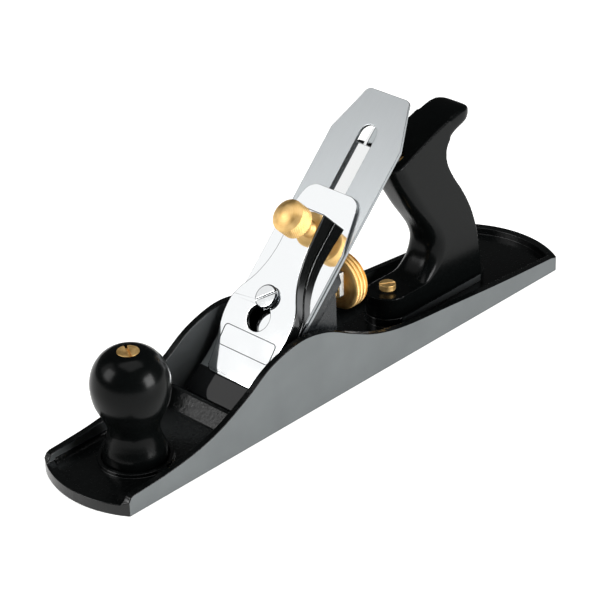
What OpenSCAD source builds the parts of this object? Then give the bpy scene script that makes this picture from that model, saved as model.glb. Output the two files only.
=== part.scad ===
// Bench hand plane, jack size, with an adjustable frog, a screw-clamped lever cap and a depth wheel.
// +X runs to the toe, +Y to the left side, +Z up; the origin is the middle of the flat sole.

/* [Sole casting] */

// Length of the sole from toe to heel
sole_length = 355.6; // [300:0.1:420]
// Width of the sole over the ground cheeks
sole_width = 64; // [56:0.5:76]
// Thickness of the floor
floor_t = 5.2; // [4:0.1:8]
// Thickness of each cheek
cheek_t = 4; // [3:0.1:6]
// How far the curved toe stands out past its corners
toe_sag = 9.4; // [5:0.1:15]
// How far the curved heel stands out past its corners
heel_sag = 9.4; // [5:0.1:15]
// Height of the lip along the toe
toe_lip = 6.4; // [5.4:0.1:10]
// Height of the lip along the heel
heel_lip = 9.2; // [6:0.1:14]
// Front edge of the mouth
mouth_x = 80.3; // [75:0.1:90]
// Width of the mouth
mouth_w = 54; // [52:0.1:55]
// Height of the rib in front of the mouth
rib_h = 13; // [8:0.5:16]
// Height of the machined seat under the frog
seat_h = 10; // [8:0.5:12]

/* [Cutter and cap iron] */

// Angle of the bed
bed_angle = 45; // [40:0.5:50]
// Where the top face of the cutter meets the sole
edge_x = 78.8; // [74:0.1:84]
// Width of the cutter
cutter_w = 50; // [44:0.5:60]
// Thickness of the cutter
cutter_t = 2; // [1.8:0.1:3.2]
// Length of the cutter along the bed
cutter_len = 198.5; // [180:0.5:205]
// Where the cutter starts to narrow
cutter_shoulder = 171; // [150:0.5:180]
// Width of the long slot
slot_w = 11.4; // [11.3:0.1:12]
// Top end of the long slot
slot_top = 179.4; // [170:0.5:185]
// Top end of the cap iron
cap_iron_top = 138.6; // [125:0.5:150]
// Thickness of the cap iron
cap_iron_t = 2; // [1.6:0.1:2.5]

/* [Lever cap] */

// Lower end of the lever cap
lever_cap_low = 23.2; // [20:0.1:30]
// Top end of the lever cap
lever_cap_top = 122.6; // [115:0.1:130]
// Place of the lever cap screw along the bed
cap_screw_u = 70.7; // [65:0.1:75]
// Radius of the lever cap screw's head
cap_screw_r = 6.8; // [6:0.1:7]
// Place of the thumb screw along the bed
thumb_u = 112.4; // [108:0.1:114]
// Radius of the thumb screw's head
thumb_r = 9.5; // [8:0.1:11]

/* [Frog and adjusters] */

// Width of the frog's lower part
frog_w = 49; // [44:0.5:52]
// Width of the frog's upper part
frog_top_w = 34; // [28:0.5:40]
// Top end of the frog along the bed
frog_top = 126; // [115:0.5:130]
// Height of the depth wheel's axis over the sole
wheel_z = 44; // [40:0.5:48]
// Radius of the depth wheel
wheel_r = 16; // [13:0.1:17]
// Radius of the lateral lever's roller
roller_r = 5.6; // [5:0.05:5.6]
// Bend of the lateral lever's end tab
tab_angle = 70; // [45:1:80]

/* [Handles] */

// Place of the knob's axis
knob_x = 134.5; // [125:0.5:140]
// Radius of the knob's ball
knob_r = 20.8; // [17:0.1:22]
// Height of the knob's top over the sole
knob_top = 68.2; // [60:0.1:75]
// Thickness of the tote
tote_t = 24; // [20:0.5:28]
// Height of the tote's seat over the sole
tote_seat = 10; // [8:0.5:12]
// Place of the toe screw
toe_screw_x = -58; // [-62:0.5:-54]
// Lean of the tote's bolt, from upright
bolt_lean = 25.8; // [20:0.1:30]

/* [Hidden] */

half_l = sole_length / 2;
half_w = sole_width / 2;
toe_r = (half_w * half_w + toe_sag * toe_sag) / (2 * toe_sag);
heel_r = (half_w * half_w + heel_sag * heel_sag) / (2 * heel_sag);
inner_w = sole_width - 2 * cheek_t;
root2 = sqrt(2);
// bed planes are given by their offset from the cutter's top face; this is the frog's face
bed_off = -cutter_t - 0.05;
bed_sum = edge_x + bed_off * root2;
frog_plate = 7;
frog_back = 9;
// pivot of the yoke in bed coordinates, under the cap iron's slot
yoke_u = 106.6;
yoke_off = -18.95;
yoke_x = edge_x - (yoke_u - yoke_off) / root2;
yoke_z = (yoke_u + yoke_off) / root2;
cap_iron_screw_u = 84;
roller_u = 116;
lateral_u = 121.5;
frog_screw_x = 40;
frog_screw_y = 12.5;
adjust_z = 15;
bolt_foot_x = -109;

// ---- curves -------------------------------------------------------------

function blend(a, b, c, d, t) =
    0.5 * (2 * b + (c - a) * t + (2 * a - 5 * b + 4 * c - d) * t * t + (3 * b - a - 3 * c + d) * t * t * t);

// smooth open curve through the points p, with n steps between neighbours
function curve(p, n) = concat(
    [for (i = [0 : len(p) - 2], k = [0 : n - 1])
        blend(p[max(i - 1, 0)], p[i], p[i + 1], p[min(i + 2, len(p) - 1)], k / n)],
    [p[len(p) - 1]]
);

// ---- frames -------------------------------------------------------------

// children are drawn in bed coordinates: x up the bed from the edge, y across, z off the cutter's face
module on_bed() {
    translate([edge_x, 0, 0]) rotate([0, bed_angle, 0]) mirror([1, 0, 0]) children();
}

// a 2D side view (x, z) made w wide across Y, centred
module across(w) {
    rotate([90, 0, 0]) linear_extrude(height = w, center = true) children();
}

// a cylinder along X from x0 to x1
module rod_x(x0, x1, r) {
    translate([x0, 0, 0]) rotate([0, 90, 0]) cylinder(h = x1 - x0, r = r, $fn = 64);
}

// a cylinder along Z from z0 to z1
module rod_z(z0, z1, r) {
    translate([0, 0, z0]) cylinder(h = z1 - z0, r = r, $fn = 64);
}

// a flat screw head with a straight slot, seat at z = 0
module slotted_head(r, h, slot, depth) {
    difference() {
        rod_z(0, h, r);
        translate([-r - 1, -slot / 2, h - depth]) cube([2 * r + 2, slot, depth + 1]);
    }
}

// a slot shape from a to b along x, radius r
module stadium(a, b, r) {
    union() {
        translate([a, 0]) circle(r = r, $fn = 64);
        translate([b, 0]) circle(r = r, $fn = 64);
        translate([a, -r]) square([b - a, 2 * r]);
    }
}

// ---- sole casting -------------------------------------------------------

module plan(h) {
    linear_extrude(height = h) intersection() {
        square([sole_length, sole_width], center = true);
        union() {
            translate([half_l - toe_r, 0]) circle(r = toe_r, $fn = 180);
            translate([heel_r - half_l, 0]) circle(r = heel_r, $fn = 180);
            square([sole_length - toe_sag - heel_sag, sole_width], center = true);
        }
    }
}

// side view of one cheek, from the toe corner over the hump to the heel
cheek_line = curve([
    [165, 11.2], [140, 12.8], [119, 16], [102, 21.2], [84, 30], [66, 40.4], [44, 45.9], [24, 42.8],
    [5, 33.7], [-14, 25.4], [-38, 20], [-75, 16.7], [-120, 12.8], [-164, 10]
], 6);

module cheek_profile() {
    polygon(concat([[172, 0], [172, 6], [168.4, 8.4], [167.2, 10.3]], cheek_line, [[-167.5, 9], [-175, 8.4], [-175, 0]]));
}

module fillet_strip(x0, x1, r) {
    for (s = [-1, 1]) {
        translate([x0, s * inner_w / 2, floor_t]) scale([1, s, 1]) rotate([90, 0, 90]) linear_extrude(height = x1 - x0)
            difference() {
                translate([-r, -0.4]) square([r + 0.4, r + 0.4]);
                translate([-r, r]) circle(r = r, $fn = 48);
            }
    }
}

module body() {
    color("#77797a") difference() {
        union() {
            intersection() {
                plan(60);
                union() {
                    translate([-200, -40, 0]) cube([400, 80, floor_t]);
                    for (s = [-1, 1]) {
                        translate([0, s * (half_w - cheek_t / 2), 0]) across(cheek_t) cheek_profile();
                    }
                    difference() {
                        translate([150, -40, 0]) cube([40, 80, toe_lip]);
                        translate([half_l - toe_r, 0, -1]) cylinder(h = 20, r = toe_r - 5, $fn = 180);
                    }
                    difference() {
                        translate([-190, -40, 0]) cube([40, 80, heel_lip]);
                        translate([heel_r - half_l, 0, -1]) cylinder(h = 20, r = heel_r - 5, $fn = 180);
                    }
                    fillet_strip(94, 165, 3);
                    fillet_strip(-164, -12, 3);
                }
            }
            // rib in front of the mouth
            across(inner_w + 0.6) polygon([
                [mouth_x, floor_t - 1], [mouth_x, rib_h], [mouth_x + 2.4, rib_h], [mouth_x + 10.6, floor_t - 1]
            ]);
            // machined seat for the frog
            across(44) polygon([[frog_back, floor_t - 1], [frog_back, seat_h], [64.4, seat_h], [74.6 - floor_t + 1, floor_t - 1]]);
            // lug that takes the frog's adjusting screw
            translate([17, -5, floor_t - 1]) cube([8, 10, adjust_z + 4.5 - floor_t + 1]);
            // ring that holds the knob's foot
            translate([knob_x, 0, 0]) rod_z(floor_t - 1, 7.2, 19.9);
            // seat under the tote
            translate([0, 0, floor_t - 1]) linear_extrude(height = tote_seat - floor_t + 1) union() {
                translate([toe_screw_x, 0]) circle(r = 13, $fn = 96);
                translate([-121, -13]) square([121 + toe_screw_x, 26]);
                translate([-121, 0]) intersection() {
                    circle(r = 13, $fn = 96);
                    translate([-14, -13]) square([14, 26]);
                }
            }
        }
        // mouth
        across(mouth_w) polygon([[mouth_x, -1], [mouth_x, floor_t + 0.1], [74.6 - floor_t - 0.1, floor_t + 0.1], [75.6, -1]]);
        // recess inside the knob's ring
        translate([knob_x, 0, 0]) rod_z(floor_t - 0.2, 8, 17.6);
        translate([knob_x, 0, 0]) rod_z(1.8, 8, 2.85);
        // tapped holes for the frog screws
        for (s = [-1, 1]) translate([frog_screw_x, s * frog_screw_y, 0]) rod_z(2.4, 12, 3);
        // tapped hole for the frog's adjusting screw
        translate([0, 0, adjust_z]) rod_x(16, 26, 2.65);
        // tapped holes for the tote
        translate([toe_screw_x, 0, 0]) rod_z(1.8, 12, 2.65);
        translate([bolt_foot_x, 0, tote_seat]) rotate([0, bolt_lean, 0]) rod_z(-8, 4, 2.85);
    }
}

// ---- frog and its fixings -------------------------------------------------

module frog() {
    color("#33373a") difference() {
        union() {
            across(frog_w) polygon([
                [frog_back, seat_h + 0.02], [64.4, seat_h + 0.02], [64.4, bed_sum - 64.4], [frog_back, bed_sum - frog_back]
            ]);
            // upper bed plate
            on_bed() translate([0, 0, bed_off - frog_plate]) linear_extrude(height = frog_plate) polygon([
                [88, -frog_w / 2], [96, -frog_w / 2], [103, -frog_top_w / 2], [frog_top - 5, -frog_top_w / 2],
                [frog_top, -frog_top_w / 2 + 5], [frog_top, frog_top_w / 2 - 5], [frog_top - 5, frog_top_w / 2],
                [103, frog_top_w / 2], [96, frog_w / 2], [88, frog_w / 2]
            ]);
            // ears for the yoke's pin
            on_bed() for (s = [-1, 1]) translate([0, s * 6.9, 0]) rotate([90, 0, 0])
                linear_extrude(height = 3.4, center = true) union() {
                    translate([yoke_u, yoke_off]) circle(r = 4.6, $fn = 64);
                    translate([yoke_u - 4.6, yoke_off]) square([9.2, bed_off - frog_plate - yoke_off + 1]);
                }
        }
        // hollow back
        across(36) polygon([
            [frog_back - 1, seat_h + 6], [bed_sum - frog_plate * root2 - seat_h - 6, seat_h + 6],
            [frog_back - 1, bed_sum - frog_plate * root2 - frog_back + 1]
        ]);
        // channel over the adjusting screw and its lug
        translate([frog_back - 1, -7, seat_h - 1]) cube([23, 14, 8]);
        // pockets and slots for the frog screws
        for (s = [-1, 1]) translate([frog_screw_x, s * frog_screw_y, 0]) {
            translate([0, 0, seat_h - 1]) linear_extrude(height = 10) stadium(-2, 2, 3.3);
            translate([0, 0, seat_h + 6]) linear_extrude(height = 40) stadium(-1.8, 1.8, 6.9);
        }
    }
}

// what is drilled and milled last
module frog_cuts() {
    on_bed() {
        // room for the head of the cap iron's screw
        translate([0, 0, bed_off - 4]) linear_extrude(height = 5) stadium(cap_iron_screw_u - 0.8, cap_iron_screw_u + 0.8, 8.3);
        // hole for the lever cap screw
        translate([cap_screw_u, 0, bed_off - 12]) cylinder(h = 14, r = 3.65, $fn = 64);
        // slot for the yoke
        translate([103.2, -4.6, bed_off - frog_plate - 1]) cube([6.8, 9.2, frog_plate + 2]);
        // recess and hole for the lateral lever
        translate([108.6, -8.6, bed_off - 1.75]) cube([20, 17.2, 4]);
        translate([lateral_u, 0, bed_off - 12]) cylinder(h = 14, r = 2.02, $fn = 48);
    }
    // holes for the yoke's pin
    translate([yoke_x, 0, yoke_z]) rotate([90, 0, 0]) cylinder(h = 30, r = 2.02, center = true, $fn = 48);
    translate([0, 0, wheel_z]) rod_x(2, 17, 3.52);
    translate([0, 0, 25.5]) rod_x(8, 13, 1.52);
}

module frog_stud_boss() {
    translate([0, 0, wheel_z]) rod_x(3, 24, 7);
    across(6) polygon([[6, wheel_z], [24, wheel_z], [24, 42.5], [bed_sum - frog_plate * root2 - wheel_z + 1, wheel_z],
        [frog_back, bed_sum - frog_plate * root2 - frog_back + 0.6], [6, wheel_z + 6]]);
}

module frog_whole() {
    color("#33373a") difference() {
        union() {
            frog();
            intersection() {
                frog_stud_boss();
                across(40) polygon([[0, 20], [55, 20], [0, 75]]);
            }
            // bar for the clip
            translate([frog_back, -19, 21]) cube([5, 38, 9]);
        }
        frog_cuts();
    }
}

module frog_screws() {
    color("#8a8c8e") for (s = [-1, 1]) translate([frog_screw_x, s * frog_screw_y, 0]) union() {
        rod_z(2.8, seat_h + 7.6, 2.95);
        translate([0, 0, seat_h + 7.5]) slotted_head(5.3, 4, 1.2, 1.8);
    }
}

module frog_washers() {
    color("#9a9c9e") for (s = [-1, 1]) translate([frog_screw_x, s * frog_screw_y, 0]) difference() {
        rod_z(seat_h + 6.02, seat_h + 7.48, 6.3);
        rod_z(seat_h + 5, seat_h + 9, 3.1);
    }
}

module frog_adjusting_screw() {
    color("#8a8c8e") translate([0, 0, adjust_z]) union() {
        translate([7, 0, 0]) rotate([0, -90, 0]) slotted_head(4.8, 4.5, 1.2, 1.8);
        rod_x(6.9, 9.3, 2.2);
        rod_x(9.2, 10.8, 3.9);
        rod_x(10.7, 27, 2.6);
    }
}

module frog_clip() {
    color("#8f9193") translate([0, 0, 0]) difference() {
        translate([7.15, -7, 10.9]) cube([1.8, 14, 18.4]);
        translate([6, -2.35, 9]) cube([4, 4.7, adjust_z - 9]);
        translate([0, 0, adjust_z]) rod_x(6, 10, 2.35);
        translate([0, 0, 25.5]) rod_x(6, 10, 1.6);
    }
}

module frog_clip_screw() {
    color("#8a8c8e") translate([0, 0, 25.5]) union() {
        rod_x(7, 12.6, 1.5);
        translate([7.13, 0, 0]) rotate([0, -90, 0]) slotted_head(2.9, 1.8, 0.8, 0.9);
    }
}

// ---- depth adjuster -------------------------------------------------------

module yoke() {
    color("#b9bbbc") difference() {
        union() {
            translate([yoke_x, 0, yoke_z]) rotate([90, 0, 0]) cylinder(h = 9.8, r = 4.1, center = true, $fn = 64);
            on_bed() translate([yoke_u - 1.5, -3, yoke_off]) cube([3, 6, 1.5 - yoke_off]);
            translate([-12.7, -4.4, 51.2]) cube([3.4, 8.8, yoke_z - 51.2]);
            // bridge and the two arms of the fork
            translate([-12.7, -9.7, 51.2]) cube([3.4, 19.4, 4.4]);
            for (s = [-1, 1]) translate([-12.7, s * 8.1, 0]) rotate([0, 90, 0]) linear_extrude(height = 3.4) union() {
                translate([-54, -1.6]) square([12, 3.2]);
                translate([-42, 0]) circle(r = 1.6, $fn = 48);
            }
        }
        translate([yoke_x, 0, yoke_z]) rotate([90, 0, 0]) cylinder(h = 30, r = 2.06, center = true, $fn = 48);
    }
}

module yoke_pin() {
    color("#8f9193") translate([yoke_x, 0, yoke_z]) rotate([90, 0, 0]) cylinder(h = 18, r = 2, center = true, $fn = 48);
}

module depth_stud() {
    color("#8f9193") translate([0, 0, wheel_z]) union() {
        rod_x(-27, 16, 3.5);
        rod_x(-28, -26.9, 2.9);
    }
}

// half section of the wheel: distance from the axis, place along the axis
wheel_half = [
    [3.56, -26.6], [8, -26.6], [8, -25.4], [wheel_r - 1.4, -25.4], [wheel_r - 0.4, -24.9], [wheel_r - 0.4, -24.3],
    [wheel_r - 1.2, -23.8], [wheel_r, -23.2], [wheel_r, -22.2], [wheel_r - 1, -21.6], [wheel_r, -21], [wheel_r, -20],
    [wheel_r - 1, -19.4], [wheel_r, -18.8], [wheel_r, -17.6], [wheel_r - 0.8, -16.9], [wheel_r - 1.8, -16.9],
    [wheel_r - 2.6, -16.2], [8.4, -15.8], [6, -15.8], [6, -8.3], [8.2, -8.3], [8.6, -7.9], [8.6, -7.1], [8.2, -6.7], [3.56, -6.7]
];

module depth_wheel() {
    color("#d9a441") translate([0, 0, wheel_z]) rotate([0, 90, 0]) rotate_extrude($fn = 128) polygon(wheel_half);
}

// ---- lateral adjuster -----------------------------------------------------

strip_top = bed_off - 0.1;
strip_t = 1.6;
bend_r = 3;

// side view of the lever: straight strip, bend and end tab
function bend_arc(r, from, to, n) =
    [for (k = [0 : n]) let (t = from + (to - from) * k / n) [167.6 + r * sin(t), strip_top - bend_r + r * cos(t)]];

module lever_side() {
    tab = [5 * cos(tab_angle), -5 * sin(tab_angle)];
    polygon(concat(
        [[roller_u - 8, strip_top - strip_t], [roller_u - 8, strip_top]],
        bend_arc(bend_r, 0, tab_angle, 14),
        [bend_arc(bend_r, 0, tab_angle, 14)[14] + tab, bend_arc(bend_r - strip_t, 0, tab_angle, 14)[14] + tab],
        bend_arc(bend_r - strip_t, tab_angle, 0, 14)
    ));
}

module lateral_lever() {
    color("#c9cbcc") on_bed() difference() {
        union() {
            intersection() {
                rotate([90, 0, 0]) linear_extrude(height = 20, center = true) lever_side();
                translate([0, 0, -20]) linear_extrude(height = 30) union() {
                    translate([roller_u, 0]) circle(r = 6.1, $fn = 64);
                    polygon([[roller_u, -5.6], [136, -6.6], [190, -6.6], [190, 6.6], [136, 6.6], [roller_u, 5.6]]);
                }
            }
            // finger piece, folded on edge
            rotate([90, 0, 0]) linear_extrude(height = 1.8, center = true) union() {
                translate([163, strip_top - 6.05]) square([19, 6]);
                translate([182, strip_top - 3.05]) circle(r = 3, $fn = 64);
                translate([170.4, strip_top - 9.05]) square([8.6, 4]);
                translate([179, strip_top - 6.05]) circle(r = 3, $fn = 64);
            }
            // stud for the roller
            translate([roller_u, 0, strip_top - 1]) cylinder(h = 2.85, r = 2, $fn = 48);
        }
        translate([lateral_u, 0, strip_top - 5]) cylinder(h = 10, r = 2.1, $fn = 48);
    }
}

module lateral_pin() {
    color("#8f9193") on_bed() translate([lateral_u, 0, bed_off - frog_plate + 0.3]) cylinder(h = frog_plate - 0.45, r = 2, $fn = 48);
}

module lateral_roller() {
    color("#b9bbbc") on_bed() translate([roller_u, 0, strip_top + 0.08]) difference() {
        cylinder(h = 1.65, r = roller_r, $fn = 96);
        translate([0, 0, -1]) cylinder(h = 4, r = 2.06, $fn = 48);
    }
}

// ---- cutter, cap iron and lever cap ----------------------------------------

module cutter() {
    color("#a5a8aa") on_bed() difference() {
        translate([0, 0, -cutter_t]) linear_extrude(height = cutter_t) difference() {
            union() {
                polygon([
                    [0.42, -cutter_w / 2], [cutter_shoulder, -cutter_w / 2], [cutter_len - 3.6, -cutter_w / 2 + 9],
                    [cutter_len - 3.6, cutter_w / 2 - 9], [cutter_shoulder, cutter_w / 2], [0.42, cutter_w / 2]
                ]);
                intersection() {
                    translate([cutter_len - 3.7, -16.1]) square([3.7, 32.2]);
                    union() {
                        translate([cutter_len - 4, 12]) circle(r = 4, $fn = 64);
                        translate([cutter_len - 4, -12]) circle(r = 4, $fn = 64);
                        translate([cutter_len - 6, -12]) square([6, 24]);
                    }
                }
            }
            stadium(60, slot_top - slot_w / 2, slot_w / 2);
            translate([60, 0]) circle(r = 9, $fn = 96);
        }
        // ground bevel at the edge
        rotate([90, 0, 0]) linear_extrude(height = cutter_w + 4, center = true)
            polygon([[-1, 0.1], [0.35, -0.05], [4.4, -cutter_t - 0.05], [4.4, -4], [-1, -4]]);
    }
}

module cap_iron() {
    color("#d5d7d8") on_bed() difference() {
        intersection() {
            // side section: flat, then the hump, then the edge that meets the cutter
            rotate([90, 0, 0]) linear_extrude(height = cutter_w + 4, center = true) polygon(concat(
                [[cap_iron_top + 1, 0.02], [cap_iron_top + 1, cap_iron_t], [34, cap_iron_t]],
                curve([[33, cap_iron_t + 0.02], [27, 2.5], [20, 3.55], [13, 4.3], [7.5, 3.9], [3.4, 2.1], [1.9, 0.9]], 5),
                [[1.6, 0.02], [3, 0.02]],
                curve([[3.6, 0.3], [6.5, 1.5], [12, 2.2], [19, 1.6], [26, 0.6], [32, 0.02]], 5)
            ));
            linear_extrude(height = 8) union() {
                polygon([
                    [0, -24.6], [108, -24.6], [cap_iron_top - 7, -19.4], [cap_iron_top - 7, 19.4], [108, 24.6], [0, 24.6]
                ]);
                translate([cap_iron_top - 8.6, 10.9]) circle(r = 8.6, $fn = 96);
                translate([cap_iron_top - 8.6, -10.9]) circle(r = 8.6, $fn = 96);
                translate([cap_iron_top - 14, -10.9]) square([14, 21.8]);
            }
        }
        translate([0, 0, -1]) linear_extrude(height = 10) stadium(69.1, 72.3, 4.6);
        translate([cap_iron_screw_u, 0, -1]) cylinder(h = 10, r = 3.15, $fn = 64);
        translate([yoke_u - 1.9, -3.8, -1]) cube([3.8, 7.6, 10]);
    }
}

module cap_iron_screw() {
    color("#8a8c8e") on_bed() translate([cap_iron_screw_u, 0, 0]) union() {
        rotate([180, 0, 0]) translate([0, 0, cutter_t + 0.02]) slotted_head(7.5, 3, 1.6, 1.4);
        translate([0, 0, -cutter_t - 0.5]) cylinder(h = cutter_t + cap_iron_t + 0.45, r = 3.1, $fn = 64);
    }
}

// half width of the lever cap along the bed
cap_half = curve([
    [26, 18.6], [33, 19.3], [40, 20.3], [46, 22.2], [52, 23.4], [58, 23.7], [64, 23.2], [70, 21.1], [75, 18],
    [80, 15.2], [86, 12.9], [92, 11.3], [100, 10.2], [110, 10], [lever_cap_top, 10]
], 6);

// height of the lever cap's face off the cutter
cap_face = curve([
    [lever_cap_low, 4], [27, 4.7], [33, 5.5], [41, 6.4], [50, 7.5], [58, 8.5], [66, 9.1], [78, 9.4], [92, 10], [107, 11.1],
    [lever_cap_top, 12.7]
], 6);

module cap_outline(inset) {
    union() {
        polygon(concat(
            [for (p = cap_half) [p[0], p[1] - inset]],
            [for (i = [len(cap_half) - 1 : -1 : 0]) [cap_half[i][0], inset - cap_half[i][1]]]
        ));
        if (inset == 0) {
            translate([lever_cap_low + 3, 15.6]) circle(r = 3, $fn = 48);
            translate([lever_cap_low + 3, -15.6]) circle(r = 3, $fn = 48);
            translate([lever_cap_low, -15.6]) square([4, 31.2]);
        }
    }
}

module lever_cap() {
    color("#e4e6e7") on_bed() difference() {
        union() {
            intersection() {
                linear_extrude(height = 20) cap_outline(0);
                rotate([90, 0, 0]) linear_extrude(height = 60, center = true) polygon(concat(
                    [[lever_cap_low, 3.55], [26, 3.1], [32, 2.9], [38, 2.4], [lever_cap_top, 2.4]],
                    [for (i = [len(cap_face) - 1 : -1 : 0]) cap_face[i]]
                ));
            }
            // boss for the thumb screw
            translate([thumb_u, 0, 5.6]) cylinder(h = 5, r = 7, $fn = 64);
        }
        // hollow underside
        difference() {
            intersection() {
                translate([34, -40, 0]) cube([lever_cap_top - 34 - 2.6, 80, 20]);
                linear_extrude(height = 20) cap_outline(2.6);
                rotate([90, 0, 0]) linear_extrude(height = 60, center = true) polygon(concat(
                    [[34, 0], [lever_cap_top, 0]],
                    [for (i = [len(cap_face) - 1 : -1 : 12]) cap_face[i] - [0, 2.6]]
                ));
            }
            translate([thumb_u, 0, 0]) cylinder(h = 20, r = 7, $fn = 64);
        }
        // keyhole
        linear_extrude(height = 20) stadium(59.1, cap_screw_u, 4);
        translate([59.1, 0, 0]) cylinder(h = 20, r = 7.3, $fn = 96);
        translate([thumb_u, 0, 0]) cylinder(h = 20, r = 3.95, $fn = 64);
    }
}

module lever_cap_screw() {
    color("#c9cbcc") on_bed() translate([cap_screw_u, 0, 0]) union() {
        translate([0, 0, bed_off - 9]) cylinder(h = 20.75, r = 3.6, $fn = 64);
        translate([0, 0, 9.65]) difference() {
            rotate_extrude($fn = 96) polygon([[0, 0], [cap_screw_r - 0.3, 0], [cap_screw_r, 0.3], [cap_screw_r, 1.7], [cap_screw_r - 0.7, 2.3], [0, 2.5]]);
            rotate(49) translate([-9, -0.7, 1.1]) cube([18, 1.4, 3]);
        }
    }
}

// half section of the thumb screw: radius, height off the cutter
thumb_half = concat(
    [[0, cap_iron_t + 0.05], [2.7, cap_iron_t + 0.05], [3, 3], [3.9, 3.6], [3.9, 13.4], [4.4, 13.6], [4.4, 17.2],
     [thumb_r - 0.8, 17.5], [thumb_r, 18.1], [thumb_r, 26.6], [thumb_r - 0.4, 27.1]],
    [for (a = [48 : 6 : 90]) [13.4 * cos(a), 17.2 + 13.4 * sin(a)]]
);

module thumb_screw() {
    color("#d9a441") on_bed() translate([thumb_u, 0, 0]) rotate_extrude($fn = 96) polygon(thumb_half);
}

// ---- tote ------------------------------------------------------------------

// side view of the tote
tote_front = curve([[-70.5, 22.3], [-76, 25], [-81.5, 30], [-84.6, 36.5], [-85.2, 43], [-82.4, 50.5], [-77.5, 58], [-70.6, 67.5],
    [-64.2, 77.5], [-58, 88], [-53.6, 97]], 5);
tote_top = curve([[-53.4, 98.8], [-62, 102.2], [-75, 107.6], [-90, 113.2], [-103, 117], [-111, 118.2], [-116.4, 117.2],
    [-118, 115], [-116.6, 112.2]], 5);
tote_back = curve([[-112, 109.6], [-103.5, 107.2], [-97.6, 103], [-95, 96.5], [-96.4, 88.5], [-101.5, 79], [-108.5, 68.5],
    [-115, 56.5], [-119.8, 43.5], [-122.8, 30], [-124.4, 18], [-125, tote_seat + 0.02]], 5);

module tote_side() {
    polygon(concat([[toe_screw_x, tote_seat + 0.02], [toe_screw_x, 22.2]], tote_front, tote_top, tote_back));
}

// horizontal section of the grip at height z: front at xf with corner radius rf, back at xb with corner radius rb
function grip_slice(z, xf, rf, xb, rb) = concat(
    [for (a = [0 : 15 : 90]) [xf - rf + rf * sin(a), -tote_t / 2 + rf - rf * cos(a), z]],
    [for (a = [90 : 15 : 180]) [xf - rf + rf * sin(a), tote_t / 2 - rf - rf * cos(a), z]],
    [for (a = [180 : 18 : 270]) [xb + rb + rb * sin(a), tote_t / 2 - rb - rb * cos(a), z]],
    [for (a = [270 : 18 : 360]) [xb + rb + rb * sin(a), -tote_t / 2 + rb - rb * cos(a), z]]
);

horn_z = 103;
grip_slices = concat(
    [for (p = tote_front) grip_slice(p[1], p[0], 8, -135, 2)],
    [grip_slice(horn_z, -49.5, 8, -135, 2), grip_slice(horn_z + 1, -49, 8, -118.6, 9), grip_slice(125, -40, 8, -118.6, 9)]
);
ring_n = len(grip_slices[0]);
ring_count = len(grip_slices);

// closed skin through the slices
module grip_skin() {
    polyhedron(
        points = [for (r = grip_slices) each r],
        faces = concat(
            [[for (k = [0 : ring_n - 1]) k]],
            [for (i = [0 : ring_count - 2], k = [0 : ring_n - 1])
                [i * ring_n + k, (i + 1) * ring_n + k, i * ring_n + (k + 1) % ring_n]],
            [for (i = [0 : ring_count - 2], k = [0 : ring_n - 1])
                [(i + 1) * ring_n + k, (i + 1) * ring_n + (k + 1) % ring_n, i * ring_n + (k + 1) % ring_n]],
            [[for (k = [ring_n - 1 : -1 : 0]) (ring_count - 1) * ring_n + k]]
        )
    );
}

module tote_axis() {
    translate([bolt_foot_x, 0, tote_seat]) rotate([0, bolt_lean, 0]) children();
}

module tote() {
    color("#1b1b1c") difference() {
        union() {
            intersection() {
                across(tote_t + 4) tote_side();
                grip_skin();
            }
            // foot of the grip and the flat pad in front of it
            intersection() {
                across(tote_t) tote_side();
                translate([-140, -20, 0]) cube([100, 40, 22.6]);
            }
            translate([toe_screw_x, 0, tote_seat + 0.02]) cylinder(h = 22.2 - tote_seat - 0.02, r = tote_t / 2, $fn = 96);
            translate([toe_screw_x, 0, 0]) rod_z(22, 22.9, 5.4);
        }
        tote_axis() {
            rod_z(-6, 120, 3);
            rod_z(89, 130, 6.1);
        }
        translate([toe_screw_x, 0, 0]) rod_z(0, 30, 2.75);
    }
}

module tote_bolt() {
    color("#8f9193") tote_axis() rod_z(-7.4, 97, 2.8);
}

module tote_nut() {
    color("#d9a441") tote_axis() difference() {
        translate([0, 0, 89.05]) slotted_head(5.9, 8.4, 1.4, 1.6);
        rod_z(80, 97.1, 2.82);
    }
}

module toe_screw() {
    color("#d9a441") translate([toe_screw_x, 0, 0]) union() {
        rod_z(2.2, 23, 2.6);
        translate([0, 0, 22.92]) rotate(146) slotted_head(4.6, 3.4, 0.9, 0.8);
    }
}

// ---- knob ------------------------------------------------------------------

knob_half = concat(
    [[3, floor_t + 0.02 - 0.2], [16.8, floor_t - 0.18], [17, 6], [17, 7.6]],
    curve([[17, 8.6], [16.6, 12], [15, 16.8], [13.9, 20.8], [13.6, 24.4], [14.6, 28.8], [17.1, 34], [19.6, 40],
        [knob_r, 47.4], [20.4, 53.4], [18.5, 59.2], [15, 64.2], [10.8, 67.2], [7, knob_top]], 5),
    [[6, knob_top], [6, 56], [3, 56]]
);

module knob() {
    color("#1b1b1c") translate([knob_x, 0, 0]) rotate_extrude($fn = 128) polygon(knob_half);
}

module knob_bolt() {
    color("#8f9193") translate([knob_x, 0, 0]) rod_z(2.2, 65, 2.8);
}

module knob_nut() {
    color("#d9a441") translate([knob_x, 0, 0]) difference() {
        translate([0, 0, 56.02]) rotate(60) slotted_head(5.85, knob_top + 0.1 - 56.02, 1.5, 1.6);
        rod_z(50, 65.1, 2.82);
    }
}

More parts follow.
